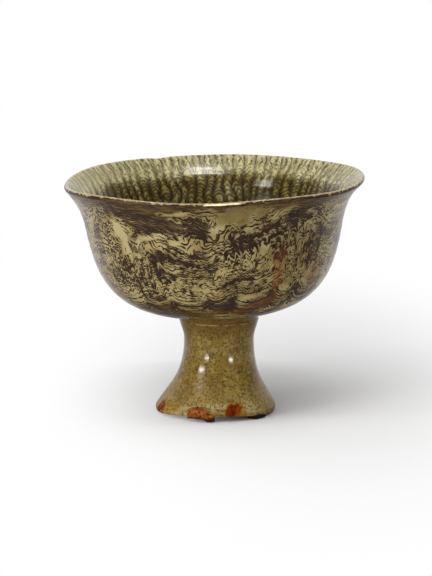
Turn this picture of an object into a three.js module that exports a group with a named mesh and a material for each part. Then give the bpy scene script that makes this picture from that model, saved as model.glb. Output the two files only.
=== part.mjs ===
// A stoneware stem cup: a thrown bowl with an everted lip, luted with slip onto a hollow, flared foot
// that stands on the remains of its kiln wads. Millimetres, +Z up, origin on the resting plane, under
// the middle of the rim.

import * as THREE from "three";

// Heights. The foot's ring hangs clear of the resting plane by what the wads leave under it.
const wadHeight = 1.4;
const footHeight = 34.2;
const slipThickness = 1.9;
const seatGap = 0.3;
const bowlHeight = 50.8;

// Bowl: the seat, the haunch that runs out from it, the shoulder where the wall stands steepest, the lip
const seatRadius = 15.0;
const haunchRun = 26.4;
const haunchRise = 2.2;
const shoulderRadius = 48.1;
const shoulderHeight = 33.7;
const shoulderSlope = 0.19;
const wallRun = 15.9;
const lipNeck = 7.0;
const lipFlare = THREE.MathUtils.degToRad(45);
const lipPull = 6.2;
const rimRadius = 56.1;
const lipWall = 1.9;
const bodyWall = 3.3;
const floorWall = 5.0;

// Foot: the flare outside, and the hollow that the potter's finger left inside
const stemTopRadius = 14.95;
const stemNeck = 2.8;
const waistRadius = 13.1;
const waistHeight = 26.5;
const footFlare = 14.5;
const footRadius = 22.45;
const footEdgeHeight = 2.0;
const edgeSlopeRun = 3.5;
const edgeSlopeRise = 5.9;
const ringOuterRadius = 21.7;
const ringInnerRadius = 17.4;
const hollowRoof = 4.2;
const hollowTopRadius = 8.0;
const hollowWaist = 8.4;
const hollowBelly = 9.6;

// Rings scored into both faces of the joint, which the luting slip fills
const scoreRadii = [6.0, 11.0];
const scoreDepth = 0.7;
const scoreHalfWidth = 0.8;
const slipFillet = 0.9;

// How the soft clay moved: the bowl leans and sits off the middle of its stem, the stem bows, the ring
// sags to both sides, the lip is pulled out on the right and its edge waves
const bowlLean = THREE.MathUtils.degToRad(1.3);
const bowlShift = -1.0;
const footCentre = 0.3;
const stemShift = 1.35;
const stemBow = 0.55;
const ringSag = 0.85;
const ringSagTurn = THREE.MathUtils.degToRad(8);
const ringSagReach = 9.0;
const lipShift = 0.5;
const lipShiftReach = 6.0;
const rimWaves = [
  { count: 2, height: 0.2, turn: THREE.MathUtils.degToRad(155) },
  { count: 3, height: 0.26, turn: THREE.MathUtils.degToRad(-17) },
  { count: 4, height: 0.18, turn: THREE.MathUtils.degToRad(-150) },
  { count: 5, height: 0.3, turn: THREE.MathUtils.degToRad(-33) },
];

// What is left of the kiln wads, which were pressed on by hand round the ring. Each has its turn from the
// front and its width in degrees, how far it stands out past the ring, how far it was squeezed up over
// the foot's edge, the share of that climb at its right end, how high its left end hangs above the
// resting plane, and how square its ends are. Two more places are empty: those wads broke off.
const wadInside = 0.8;
const wadBulge = 0.35;
const wadLipWall = 0.9;
const wads = [
  { name: "kiln_wad_front_left", turn: -14, width: 27, out: 1.2, climb: 3.6, right: 0.3, hang: 1.1, square: 7 },
  { name: "kiln_wad_front_right", turn: 49.5, width: 16, out: 0.2, climb: 0.5, right: 0.55, hang: 0, square: 3 },
  { name: "kiln_wad_right", turn: 107, width: 15, out: 0.0, climb: 0.4, right: 0.55, hang: 0, square: 3 },
  { name: "kiln_wad_back", turn: 168, width: 21, out: 0.6, climb: 1.0, right: 0.7, hang: 0, square: 3 },
  { name: "kiln_wad_back_left", turn: 229, width: 18, out: 0.3, climb: 0.6, right: 0.55, hang: 0, square: 3 },
];

// Fineness of the turned surfaces
const bowlSegments = 72;
const footSegments = 60;
const wadSteps = 12;

const footTop = wadHeight + footHeight;
const seatHeight = footTop + slipThickness + seatGap;
const stemTopCentre = footCentre + stemShift;
const seatCentre = stemTopCentre + bowlShift;

const clay = new THREE.MeshStandardMaterial({ color: 0xa3966d, roughness: 0.28, metalness: 0 });
const footGlaze = new THREE.MeshStandardMaterial({ color: 0x77653e, roughness: 0.22, metalness: 0 });
const slipGlaze = new THREE.MeshStandardMaterial({ color: 0x6f5a34, roughness: 0.3, metalness: 0 });
const wadClay = new THREE.MeshStandardMaterial({ color: 0x85571f, roughness: 0.85, metalness: 0 });

const at = (radius, height) => new THREE.Vector2(radius, height);

function curve(start, startPull, endPull, end, steps) {
  return new THREE.CubicBezierCurve(start, startPull, endPull, end).getPoints(steps);
}

function arc(centre, radius, from, to, steps) {
  const points = [];
  for (let i = 0; i <= steps; i += 1) {
    const turn = from + ((to - from) * i) / steps;
    points.push(at(centre.x + radius * Math.cos(turn), centre.y + radius * Math.sin(turn)));
  }
  return points;
}

const lipCentre = at(rimRadius - lipWall / 2, bowlHeight - lipWall / 2);

// The outside of the bowl, from the edge of its seat up to where the lip begins to turn over
function bowlOutside() {
  const shoulder = at(shoulderRadius, shoulderHeight);
  const lipAlong = at(Math.sin(lipFlare), Math.cos(lipFlare));
  const lipStart = at(
    lipCentre.x + (lipWall / 2) * Math.cos(lipFlare),
    lipCentre.y - (lipWall / 2) * Math.sin(lipFlare),
  );
  const lower = curve(
    at(seatRadius, 0),
    at(seatRadius + haunchRun, haunchRise),
    at(shoulderRadius - shoulderSlope * wallRun, shoulderHeight - wallRun),
    shoulder,
    13,
  );
  const upper = curve(
    shoulder,
    at(shoulderRadius + shoulderSlope * lipNeck, shoulderHeight + lipNeck),
    lipStart.clone().addScaledVector(lipAlong, -lipPull),
    lipStart,
    6,
  );
  return [...lower, ...upper.slice(1)];
}

// The wall thins from the floor up the side, and again to the lip
function wallAt(share) {
  const body = THREE.MathUtils.lerp(floorWall, bodyWall, Math.min(1, share * 2.5));
  const thinning = THREE.MathUtils.smoothstep(share, 0.7, 1);
  return THREE.MathUtils.lerp(body, lipWall, thinning);
}

// The same line moved inwards by the wall, square to itself
function insideOf(outside) {
  const last = outside.length - 1;
  return outside.map((point, i) => {
    const before = outside[Math.max(0, i - 1)];
    const after = outside[Math.min(last, i + 1)];
    const along = after.clone().sub(before).normalize();
    const wall = wallAt(i / last);
    return at(point.x - along.y * wall, point.y + along.x * wall);
  });
}

// Grooves scored across a flat face, from the middle outwards; inset leaves room for what fills them
function scored(face, side, inset) {
  const halfWidth = scoreHalfWidth - inset;
  const depth = scoreDepth - inset;
  return scoreRadii.flatMap((radius) => [
    at(radius - halfWidth, face),
    at(radius, face + side * depth),
    at(radius + halfWidth, face),
  ]);
}

function bowlProfile() {
  const outside = bowlOutside();
  const inside = insideOf(outside);
  const round = arc(lipCentre, lipWall / 2, -lipFlare, Math.PI - lipFlare, 4).slice(1, -1);
  return [at(0, 0), ...scored(0, 1, 0), ...outside, ...round, ...inside.reverse(), at(0, floorWall)];
}

// Lathes a profile, and then moves each point as the soft clay moved
function turned(profile, segments, settle) {
  const geometry = new THREE.LatheGeometry(profile, segments);
  geometry.rotateX(Math.PI / 2);
  const place = geometry.getAttribute("position");
  const point = new THREE.Vector3();
  for (let i = 0; i < place.count; i += 1) {
    point.fromBufferAttribute(place, i);
    settle(point);
    place.setXYZ(i, point.x, point.y, point.z);
  }
  geometry.computeVertexNormals();
  return geometry;
}

function settleBowl(point) {
  const angle = Math.atan2(point.y, point.x);
  const rise = THREE.MathUtils.smoothstep(point.z, shoulderHeight * 0.6, bowlHeight);
  point.x += lipShift * THREE.MathUtils.smoothstep(point.z, bowlHeight - lipShiftReach, bowlHeight);
  for (const wave of rimWaves) {
    point.z += rise * wave.height * Math.cos(wave.count * angle + wave.turn);
  }
  point.applyAxisAngle(new THREE.Vector3(0, -1, 0), bowlLean);
  point.x += seatCentre;
  point.z += seatHeight;
}

// How much lower or higher the ring lies at this angle than it would on a flat foot
const sagAt = (angle) => -ringSag * Math.cos(2 * angle + ringSagTurn);

function settleFoot(point) {
  const share = point.z / footHeight;
  const sag = sagAt(Math.atan2(point.y, point.x)) * (1 - THREE.MathUtils.smoothstep(point.z, 0, ringSagReach));
  point.x += footCentre + stemShift * share + stemBow * Math.sin(Math.PI * share);
  point.z += wadHeight + sag;
}

// The outside of the foot, from its ring up to the top of the stem
function footOutside() {
  const edge = at(footRadius, footEdgeHeight);
  const waist = at(waistRadius, waistHeight);
  const rounding = curve(
    at(ringOuterRadius, 0),
    at(THREE.MathUtils.lerp(ringOuterRadius, footRadius, 0.6), 0),
    at(footRadius, footEdgeHeight * 0.4),
    edge,
    4,
  );
  const flare = curve(
    edge,
    at(footRadius - edgeSlopeRun, footEdgeHeight + edgeSlopeRise),
    at(waistRadius, waistHeight - footFlare),
    waist,
    10,
  );
  const neck = curve(
    waist,
    at(waistRadius, waistHeight + stemNeck),
    at(stemTopRadius - 0.2 * stemNeck, footHeight - stemNeck),
    at(stemTopRadius, footHeight),
    5,
  );
  return [...rounding, ...flare.slice(1), ...neck.slice(1)];
}

function footProfile() {
  const hollow = curve(
    at(hollowTopRadius, footHeight - hollowRoof),
    at(hollowWaist, waistHeight - 6),
    at(hollowBelly, footFlare - 3),
    at(ringInnerRadius, 0),
    10,
  );
  return [
    at(0, footHeight - hollowRoof),
    ...hollow,
    ...footOutside(),
    ...scored(footHeight, -1, 0).reverse(),
    at(0, footHeight),
  ];
}

// The luting slip: it fills the scored rings of both faces, and is wiped into a fillet round the joint
function slipGeometry() {
  const fillet = curve(
    at(stemTopRadius, 0),
    at(stemTopRadius + slipFillet * 0.1, slipThickness * 0.5),
    at(stemTopRadius + slipFillet * 0.4, slipThickness * 0.85),
    at(stemTopRadius + slipFillet, slipThickness),
    3,
  );
  const profile = [
    at(0, 0),
    ...scored(0, -1, seatGap),
    ...fillet,
    ...scored(slipThickness, 1, seatGap).reverse(),
    at(0, slipThickness),
  ];
  return turned(profile, footSegments, (point) => {
    const share = THREE.MathUtils.clamp(point.z / slipThickness, 0, 1);
    point.z += share * Math.tan(bowlLean) * point.x;
    point.x += THREE.MathUtils.lerp(stemTopCentre, seatCentre, share);
    point.z += footTop;
  });
}

// How far the foot reaches out at a height above its ring
function footReachAt(height) {
  const outside = footOutside();
  const i = Math.max(1, outside.findIndex((point) => point.y >= height));
  const [below, above] = [outside[i - 1], outside[i]];
  return THREE.MathUtils.mapLinear(height, below.y, above.y, below.x, above.x);
}

// One wad: a lump squeezed flat under the ring, bulging outside it and climbing over the foot's edge.
// Its section, in radius and height, shrinks towards both ends.
function wadSection(wad, share, ring) {
  const swell = Math.sqrt(1 - 0.85 * Math.abs(share) ** wad.square);
  const ragged = 0.08 * Math.sin(7 * share + wad.width);
  const innerRadius = ringInnerRadius - wadInside;
  const outerRadius = ringOuterRadius + wad.out;
  const middle = (innerRadius + outerRadius) / 2;
  const reach = ((outerRadius - innerRadius) / 2) * (swell + ragged);
  const climb = wad.climb * swell * (1 - (1 - wad.right) * THREE.MathUtils.smoothstep(share, 0.3, 0.6));
  const bottom = wad.hang * (1 - THREE.MathUtils.smoothstep(share, 0, 0.5));
  const top = ring - seatGap;
  const edge = Math.max(middle + reach, footReachAt(0) + seatGap * 2);
  const lip = (height, wall) => at(footReachAt(height) + seatGap + wall, ring + height);
  return [
    at(middle - reach, bottom),
    at(edge, bottom),
    at(edge + wadBulge, (bottom + top) / 2),
    lip(climb * 0.45, wadLipWall * swell),
    lip(climb, wadLipWall * 0.6 * swell),
    lip(climb, 0),
    lip(climb * 0.45, 0),
    at(footReachAt(0) + seatGap, top),
    at(middle - reach * 0.94, top),
  ];
}

function wadGeometry(wad) {
  const half = THREE.MathUtils.degToRad(wad.width / 2);
  const middle = THREE.MathUtils.degToRad(wad.turn - 90);
  const sections = [];
  for (let i = 0; i <= wadSteps; i += 1) {
    const share = (2 * i) / wadSteps - 1;
    const angle = middle + share * half;
    const section = wadSection(wad, share, wadHeight + sagAt(angle));
    sections.push({ section, angle });
  }
  return lofted(sections);
}

// Joins sections that stand at successive angles round the axis, and closes both ends
function lofted(sections) {
  const count = sections[0].section.length;
  const places = sections.flatMap(({ section, angle }) =>
    section.flatMap((point) => [
      footCentre + point.x * Math.cos(angle),
      point.x * Math.sin(angle),
      point.y,
    ]),
  );
  const faces = [];
  for (let i = 0; i + 1 < sections.length; i += 1) {
    for (let j = 0; j < count; j += 1) {
      const here = i * count + j;
      const next = i * count + ((j + 1) % count);
      faces.push(here, next + count, next, here, here + count, next + count);
    }
  }
  const last = (sections.length - 1) * count;
  for (const [a, b, c] of THREE.ShapeUtils.triangulateShape(sections[0].section, [])) {
    faces.push(a, b, c);
  }
  for (const [a, b, c] of THREE.ShapeUtils.triangulateShape(sections.at(-1).section, [])) {
    faces.push(last + a, last + c, last + b);
  }
  const geometry = new THREE.BufferGeometry();
  geometry.setAttribute("position", new THREE.Float32BufferAttribute(places, 3));
  geometry.setIndex(faces);
  return geometry;
}

function named(name, geometry, material) {
  const mesh = new THREE.Mesh(geometry, material);
  mesh.name = name;
  return mesh;
}

const cup = new THREE.Group();
cup.add(named("bowl", turned(bowlProfile(), bowlSegments, settleBowl), clay));
cup.add(named("foot", turned(footProfile(), footSegments, settleFoot), footGlaze));
cup.add(named("luting_slip", slipGeometry(), slipGlaze));
for (const wad of wads) {
  cup.add(named(wad.name, wadGeometry(wad), wadClay));
}

export default cup;
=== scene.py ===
import math
from functools import partial

import bpy
import numpy as np
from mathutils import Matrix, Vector, noise


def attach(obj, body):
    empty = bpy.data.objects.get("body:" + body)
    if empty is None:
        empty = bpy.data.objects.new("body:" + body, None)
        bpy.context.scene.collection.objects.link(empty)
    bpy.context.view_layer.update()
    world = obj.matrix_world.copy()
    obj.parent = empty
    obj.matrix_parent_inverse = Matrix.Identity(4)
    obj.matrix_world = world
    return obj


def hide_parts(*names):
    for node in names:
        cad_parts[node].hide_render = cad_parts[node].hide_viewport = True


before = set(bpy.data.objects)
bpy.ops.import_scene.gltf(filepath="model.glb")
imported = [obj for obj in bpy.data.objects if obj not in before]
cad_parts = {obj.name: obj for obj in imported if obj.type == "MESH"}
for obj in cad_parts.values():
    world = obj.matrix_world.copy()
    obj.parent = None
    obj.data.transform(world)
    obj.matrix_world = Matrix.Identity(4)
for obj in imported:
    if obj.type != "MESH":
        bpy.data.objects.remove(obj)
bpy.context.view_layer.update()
print("frame loaded:", ", ".join(sorted(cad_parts)))


# sRGB hex to the linear values that a shader takes
def fromHex(text):
    values = [int(text[i : i + 2], 16) / 255 for i in (1, 3, 5)]
    linear = [v / 12.92 if v <= 0.04045 else ((v + 0.055) / 1.055) ** 2.4 for v in values]
    return (*linear, 1.0)


# Adds one shader node and gives its output. A setting in bare text is the node's operation, the values
# go to its open sockets in order, and a value that is a socket itself is linked.
def addNode(tree, kind, settings, *values, out=0, **named):
    made = tree.nodes.new("ShaderNode" + kind)
    if isinstance(settings, str):
        settings = {"operation": settings}
    for name, value in settings.items():
        setattr(made, name, value)
    pairs = list(zip([s for s in made.inputs if s.enabled], values))
    pairs += [(made.inputs[name.replace("_", " ")], value) for name, value in named.items()]
    for socket, value in pairs:
        if isinstance(value, bpy.types.NodeSocket):
            tree.links.new(value, socket)
        elif value is not None:
            socket.default_value = value
    outputs = [s for s in made.outputs if s.enabled]
    return outputs[out] if outputs else made


def newMaterial(name):
    material = bpy.data.materials.new(name)
    material.use_nodes = True
    material.node_tree.nodes.clear()
    return material, partial(addNode, material.node_tree)


# Settings that many nodes share
signed = {"normalize": False}
smooth = {"interpolation_type": "SMOOTHSTEP"}
mix = {"data_type": "RGBA"}


# Lays coats over the first colour. Each has the share of it that shows and its colour, by name or mixed.
def layCoats(add, p, first, coats):
    colour = fromHex(p[first])
    for share, coat in coats:
        coat = fromHex(p[coat]) if isinstance(coat, str) else coat
        colour = add("Mix", mix, share, colour, coat)
    return colour


# Profiles are worked out in millimetres, as radius and height, and every mesh is scaled to metres
def bezier(start, startPull, endPull, end, steps):
    t = np.linspace(0, 1, steps + 1)[:, None]
    a, b, c, d = (np.array(p, float) for p in (start, startPull, endPull, end))
    return (1 - t) ** 3 * a + 3 * (1 - t) ** 2 * t * b + 3 * (1 - t) * t**2 * c + t**3 * d


# A level stretch of a profile, at the given radii
def levelLine(radii, height):
    return np.stack([radii, np.full(len(radii), height)], -1)


def smoothstep(low, high, value):
    share = np.clip((value - low) / (high - low), 0, 1)
    return share * share * (3 - 2 * share)


def runAlong(line):
    steps = np.linalg.norm(np.diff(line, axis=0), axis=1)
    return np.concatenate([[0], np.cumsum(steps)])


# How the soft clay moved, in millimetres and degrees: the bowl leans and sits off the middle of its
# stem, the stem bows, the ring sags to both sides, the lip is pulled out on the right and waves
clayMoved = {
    "bowlLean": 1.3,
    "bowlShift": -1.0,
    "footCentre": 0.3,
    "stemShift": 1.35,
    "stemBow": 0.55,
    "ringSag": 0.85,
    "ringSagTurn": 8,
    "ringSagReach": 9.0,
    "lipShift": 0.5,
    "lipShiftReach": 6.0,
    "rimWaves": [(2, 0.2, 155), (3, 0.26, -17), (4, 0.18, -150), (5, 0.3, -33)],
    "rimDip": {"turn": -157, "width": 3.2, "depth": 0.45},
}

# Heights of the wads, the foot, the slip on it and the gap at the seat, in millimetres, and from them
# the levels of the stem's top and of the bowl's seat
levels = {"wad": 1.4, "foot": 34.2, "slip": 1.9, "seatGap": 0.3}
levels["footTop"] = levels["wad"] + levels["foot"]
levels["seat"] = levels["footTop"] + levels["slip"] + levels["seatGap"]


# One lathed skin: a line of radius and height turned into columns. Gives the grid of points and the
# column's turn from the front in degrees, to the right as the viewer sees it.
def turnedGrid(line, columns):
    turn = np.linspace(-180, 180, columns + 1)
    angle = np.radians(turn)
    radius, height = line[:, 0][:, None], line[:, 1][:, None]
    x = radius * np.sin(angle)[None, :]
    y = -radius * np.cos(angle)[None, :]
    z = np.repeat(height, len(turn), axis=1)
    return np.stack([x, y, z], axis=-1), turn


def moveBowl(points, lipHeight, shoulderHeight):
    m = clayMoved
    x, y, z = points[..., 0].copy(), points[..., 1], points[..., 2].copy()
    angle = np.arctan2(y, x)
    rise = smoothstep(shoulderHeight * 0.6, lipHeight, z)
    pull = smoothstep(lipHeight - m["lipShiftReach"], lipHeight, z)
    x += m["lipShift"] * pull
    for count, height, turn in m["rimWaves"]:
        z += rise * height * np.cos(count * angle + math.radians(turn))
    dip = m["rimDip"]
    away = np.degrees(angle + math.pi / 2) - dip["turn"]
    away = (away + 180) % 360 - 180
    z -= dip["depth"] * pull * np.exp(-((away / dip["width"]) ** 2))
    lean = math.radians(m["bowlLean"])
    left = x * math.cos(lean) - z * math.sin(lean)
    up = x * math.sin(lean) + z * math.cos(lean)
    centre = m["footCentre"] + m["stemShift"] + m["bowlShift"]
    return np.stack([left + centre, y, up + levels["seat"]], axis=-1)


def moveFoot(points):
    m = clayMoved
    x, y, z = points[..., 0], points[..., 1], points[..., 2]
    share = z / levels["foot"]
    sag = -m["ringSag"] * np.cos(2 * np.arctan2(y, x) + math.radians(m["ringSagTurn"]))
    sag = sag * (1 - smoothstep(0, m["ringSagReach"], z))
    bow = m["stemShift"] * share + m["stemBow"] * np.sin(math.pi * share)
    return np.stack([x + m["footCentre"] + bow, y, z + levels["wad"] + sag], axis=-1)


# A smooth-shaded mesh in metres, from points in millimetres
def newMesh(name, points, faces):
    mesh = bpy.data.meshes.new(name)
    mesh.from_pydata((points.reshape(-1, 3) / 1000).tolist(), [], faces)
    mesh.polygons.foreach_set("use_smooth", np.ones(len(mesh.polygons), dtype=bool))
    return mesh


def keepValue(mesh, name, values):
    layer = mesh.attributes.new(name, "FLOAT", "POINT")
    layer.data.foreach_set("value", np.ascontiguousarray(values, dtype=np.float32).reshape(-1))


# The faces between the rows of a grid that closes round on itself
def quads(rows, columns):
    index = np.arange(rows * columns).reshape(rows, columns)
    here, up = index[:-1], index[1:]
    return np.stack([here, np.roll(here, -1, 1), np.roll(up, -1, 1), up], -1).reshape(-1, 4)


# Makes the piece of a grid of points, closed round the turn. Each surface value is kept as an
# attribute, and the turn and the run along the line as a map for the materials. The rows where second
# is true show the second material.
def skin(name, points, run, values, node, materials, second=False):
    rows, columns = points.shape[0], points.shape[1] - 1
    mesh = newMesh(name, points[:, :columns], quads(rows, columns).tolist())
    share = np.arange(columns) / columns
    corner = np.stack([share, share + 1 / columns, share + 1 / columns, share], -1)
    across = np.broadcast_to(corner, (rows - 1, columns, 4))
    along = np.stack([run[:-1], run[:-1], run[1:], run[1:]], -1)[:, None, :]
    along = np.broadcast_to(along, (rows - 1, columns, 4)) / 1000
    wrap = mesh.uv_layers.new(name="wrap")
    wrap.data.foreach_set("uv", np.stack([across, along], -1).reshape(-1))
    for key, value in values.items():
        keepValue(mesh, key, np.broadcast_to(value, points.shape[:2])[:, :columns])
    mesh.validate()
    mesh.update()
    for material in materials:
        mesh.materials.append(material)
    shown = np.broadcast_to(second, rows - 1).astype(np.int32)
    mesh.polygons.foreach_set("material_index", np.repeat(shown, columns))
    return place(bpy.data.objects.new(name, mesh), node)


def place(piece, node):
    bpy.context.scene.collection.objects.link(piece)
    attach(piece, "root")
    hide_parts(*node)
    return piece


# Moves a grid of points inwards, square to itself, by the given depths
def pressIn(points, depth):
    along = np.gradient(points, axis=0)
    across = np.gradient(points, axis=1)
    across[:, 0] = across[:, -1] = points[:, 1] - points[:, -2]
    outward = np.cross(across, along)
    length = np.linalg.norm(outward, axis=-1, keepdims=True)
    outward = outward / np.maximum(length, 1e-9)
    return points - outward * np.asarray(depth)[..., None]


# A soft blot on the skin, its sizes in millimetres and its tilt in degrees, rising to the right
def blot(arc, run, spot):
    atArc, atRun, halfLong, halfWide, tilt, strength = spot
    a, b = arc - atArc, run - atRun
    c, s = math.cos(math.radians(tilt)), math.sin(math.radians(tilt))
    along, across = a * c - b * s, a * s + b * c
    return strength * np.exp(-(((along / halfLong) ** 2 + (across / halfWide) ** 2) ** 1.5))


def blots(arc, run, spots, around):
    total = np.zeros(np.broadcast(arc, run).shape)
    for spot in spots:
        for shift in (-around, 0, around):
            total = np.maximum(total, blot(arc + shift, run, spot))
    return total


# The bowl. Sizes in millimetres. Each blot: millimetres round from the front at the shoulder's
# radius, millimetres below the lip, half its length and width, tilt, strength.
bowl = {
    "seatRadius": 15.0,
    "haunch": (26.4, 2.2),
    "shoulder": (48.1, 33.7),
    "shoulderSlope": 0.19,
    "wallRun": 15.9,
    "lipNeck": 7.0,
    "lipFlare": 45,
    "lipPull": 6.2,
    "rimRadius": 56.06,
    "height": 50.76,
    "lipWall": 1.9,
    "bodyWall": 3.3,
    "floorWall": 5.0,
    "bodyWallFrom": 0.4,  # shares of the way up
    "lipWallFrom": 0.7,
    "outlineSteps": (110, 44),
    "shoulderShare": 13 / 19,
    "columns": 640,
    "throwingRing": {"depth": 0.05, "step": 4.6, "wander": 1.3, "fromLip": (3, 9), "fromMiddle": 4},
    "dark": [
        (-27, 8.6, 17, 6.4, -15, 1.6),
        (-10, 12.8, 11, 4.0, 2, 1.45),
        (-7, 21, 9, 3.6, 0, 0.65),
        (-8, 8.5, 6, 1.5, 8, 0.7),
        (-31, 19.5, 4.0, 4.5, 0, 0.9),
        (-16, 24.6, 14, 4.8, -8, 0.9),
        (-1, 24.0, 6, 2.2, 12, 0.7),
        (11, 18.5, 10, 3.8, 28, 0.9),
        (19, 8, 7, 2.0, 45, 0.8),
        (31, 11.0, 15, 5.4, 24, 0.95),
        (50, 17, 10, 10, 60, 0.6),
        (-38, 31, 6, 6, -30, 0.45),
        (-52, 20, 6, 12, -70, 0.6),
        (8, 33, 16, 4.0, 8, 0.15),
        # These four, 47 to 60 mm below the lip and one of them all the way round, crowd dark layers over
        # the lower bowl and its underside: painted shade under the bowl
        (0, 47, 52, 4.6, 0, 1.1),
        (0, 52, 70, 4.0, 0, 1.1),
        (0, 60, 300, 7, 0, 1.0),
        (151, 50, 80, 4, 0, 0.8),
        (27, 43, 12, 3.4, 16, 0.8),
        (-30, 43, 12, 3.0, -10, 0.5),
    ],
    "pale": [
        (-38, 15, 6, 3.0, -55, 1.0),
        (-33, 20.5, 5.0, 6.0, -60, 1.1),
        (-22, 15.8, 9, 1.3, 10, 0.9),
        (-13, 5.2, 6, 1.4, 8, 0.8),
        (9, 6.8, 8.5, 4.8, 14, 1.1),
        (1, 12.5, 4.5, 2.2, 24, 0.8),
        (-14, 18.0, 4, 1.4, 0, 0.7),
        (19.5, 22.0, 2.4, 3.4, 0, 0.9),
        (3, 29, 4, 1.6, 20, 0.5),
        (14, 41.5, 5, 1.6, 10, 0.7),
        (-7, 37, 8, 2.2, -4, 0.5),
        (31, 36.5, 4.5, 2.2, 55, 0.6),
    ],
    # Painted light inside: the walls at the left and right just below the lip are kept paler, with fewer
    # lines and less pooled gloss
    "paleInside": [(-82, -5, 30, 9, 0, 1.0), (82, -3, 16, 3, 0, 0.5)],
    "ochre": [
        (9.5, 6.6, 10, 5.6, 10, 0.95),
        (36, 28, 24, 20, 0, 0.6),
        (46, 6, 14, 3.5, 8, 0.5),
        (-46, 5.5, 12, 3, 0, 0.45),
    ],
    "rust": [
        (26, 33, 2.4, 12, 4, 0.9),
        (21, 46, 9, 3.0, 12, 1.0),
        (12, 50.5, 12, 2.0, 0, 0.8),
        (28.5, 24, 2, 4, 0, 0.6),
        (38, 27, 1.6, 9, 0, 0.45),
        (46, 33, 5, 9, 20, 0.5),
    ],
    # Pinholes, painted near black as the shade in their pits, which the mesh doesn't have
    "shadedPinholes": [
        (-46, 6.6, 0.5, 0.5, 0, 1.0),
        (28, 8.6, 0.6, 0.6, 0, 1.0),
        (12, 26, 0.4, 0.4, 0, 0.8),
    ],
    # A cream patch on the front rim: rubbed glaze, painted bright enough to be the rim's highlight too
    "wornAndHighlightRim": {"turn": 3, "reach": 7.5},
    # How the layers outside were worked: how far they sagged at each turn, how they were stirred, where
    # a comb drew them up and down, and the peaks round the bottom. Waves have a length, depth and seed.
    "sag": [
        (-180, 4), (-140, 8), (-100, 2), (-75, -2), (-48, 3), (-20, 10.5), (-3, 15),
        (11, 8), (24.5, 2), (33, -4), (50, -2), (75, 4), (110, 0), (145, 6), (180, 4),
    ],
    "sagSoftness": 90,
    "sagEnds": (24, 44),
    "levelFrom": (34, 45),
    "stir": [(15, 1.9, 31), (7, 1.1, 32), (3.8, 0.4, 33)],
    "tines": 92,
    "combDepth": 3.9,
    "combStarts": (2, 8),
    "archMean": 0.64,
    "combUneven": [(17, 0.25, 35)],
    "combWander": [(13, 0.2, 36)],
    "combed": [
        (-33, 30, 14, 11, 0, 1.4),
        (13, 20, 10, 5, 20, 1.2),
        (-4, 36, 24, 6, 0, 0.8),
        (36, 24, 14, 10, 0, 1.2),
    ],
    "drawnUp": [(-34, 3.0), (-19.5, 3.4), (-3.5, 3.4), (7.3, 5.4), (25, 4.4), (37, 4.6)],
    "drawnUpReach": 2.3,
    "drawnUpStarts": (28, 38),
    "drawnUpEnds": (46, 53),
    "drawnUpDark": 0.45,
    "tinesInside": 82,
    "archesInside": {"lip": 6.0, "well": 2.0, "depth": 12},
    "wanderInside": [(14, 0.24, 41), (5, 0.07, 42)],
    "unevenInside": [(9, 0.22, 45)],
    "stirInside": [(12, 1.2, 43), (4, 0.35, 44)],
}
bowlAround = 2 * math.pi * bowl["shoulder"][0]


# The bowl's outline from the seat up to the lip, each point's share of the way up, and the middle of
# the lip's rounding
def bowlOutside():
    b = bowl
    radius, height = b["shoulder"]
    stepsBelow, stepsAbove = b["outlineSteps"]
    flare = math.radians(b["lipFlare"])
    half = b["lipWall"] / 2
    centre = np.array([b["rimRadius"] - half, b["height"] - half])
    lipStart = centre + half * np.array([math.cos(flare), -math.sin(flare)])
    back = np.array([math.sin(flare), math.cos(flare)]) * b["lipPull"]
    lower = bezier(
        (b["seatRadius"], 0),
        (b["seatRadius"] + b["haunch"][0], b["haunch"][1]),
        (radius - b["shoulderSlope"] * b["wallRun"], height - b["wallRun"]),
        (radius, height),
        stepsBelow,
    )
    upper = bezier(
        (radius, height),
        (radius + b["shoulderSlope"] * b["lipNeck"], height + b["lipNeck"]),
        lipStart - back,
        lipStart,
        stepsAbove,
    )
    share = np.linspace(0, b["shoulderShare"], stepsBelow + 1)
    shareAbove = np.linspace(b["shoulderShare"], 1, stepsAbove + 1)
    share = np.concatenate([share, shareAbove[1:]])
    return np.concatenate([lower, upper[1:]]), share, centre


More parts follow.
